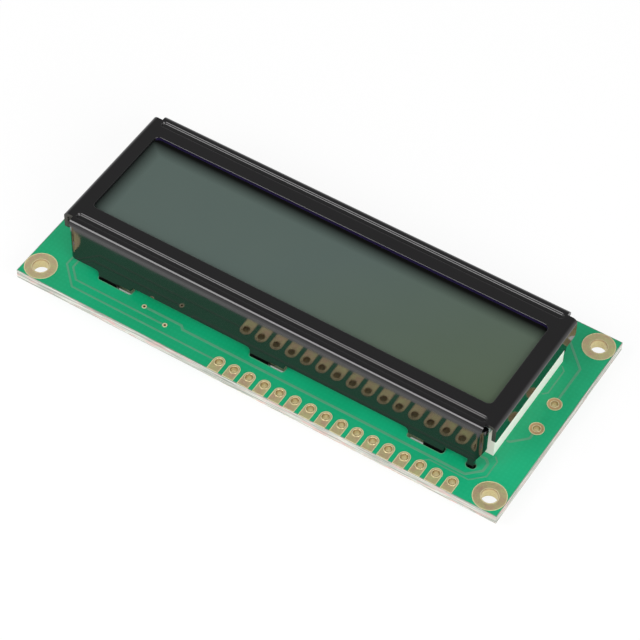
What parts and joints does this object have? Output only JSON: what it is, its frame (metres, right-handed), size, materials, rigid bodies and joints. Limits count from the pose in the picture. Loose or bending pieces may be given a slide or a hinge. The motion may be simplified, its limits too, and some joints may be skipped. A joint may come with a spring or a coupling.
{
  "type": "character lcd module",
  "caption": "Character display module: a wide rectangular LCD in a folded black sheet-metal bezel on a green circuit board, with a row of header pads along one edge.",
  "frame": {"origin": "centre of the board's outline in plan, at the level of the bezel's twisted tab tips, which the module rests on", "axes": "+X along the board, with the header pads nearer the +X end; -Y towards the header edge; +Z out of the display face"},
  "size_m": [0.08, 0.036, 0.0126],
  "materials": {
    "board": "glossy green solder mask over glass-fibre laminate, with cut edges in pale cream",
    "plated_copper": "dull tin and gold plating over copper",
    "masked_copper": "copper trace under green solder mask",
    "gold": "gold plate",
    "black_paint": "gloss black paint on folded sheet steel",
    "polariser": "smooth grey-green polarising film",
    "glass": "clear float glass",
    "seal": "cured adhesive",
    "reflector": "transflective film",
    "elastomer": "layered silicone, matte",
    "white_plastic": "white moulded plastic",
    "diffuser": "milky plastic sheet",
    "led_laminate": "bare laminate",
    "led": "clear resin on a small white base",
    "tin": "bright tin",
    "epoxy": "satin black epoxy",
    "silicon": "polished silicon",
    "resistor": "black glass coat",
    "capacitor": "bare brown ceramic"
  },
  "bodies": {
    "root": {"circuit_board": "board", "corner_lands": "plated_copper", "header_lands": "plated_copper", "backlight_lands": "plated_copper", "signal_traces": "masked_copper", "vias": "plated_copper", "contact_fingers": "gold", "bezel": "black_paint", "front_polariser": "polariser", "front_glass": "glass", "cell_seal": "seal", "fill_plug": "seal", "rear_glass": "glass", "rear_polariser": "reflector", "front_strip": "elastomer", "back_strip": "elastomer", "backlight_case": "white_plastic", "diffuser": "diffuser", "led_board": "led_laminate", "leds": "led", "supply_pins": "tin", "pin_solder": "tin", "epoxy_drops": "epoxy", "silicon_dies": "silicon", "resistor_bodies": "resistor", "capacitor_bodies": "capacitor", "end_caps": "tin"}
  },
  "joints": []
}
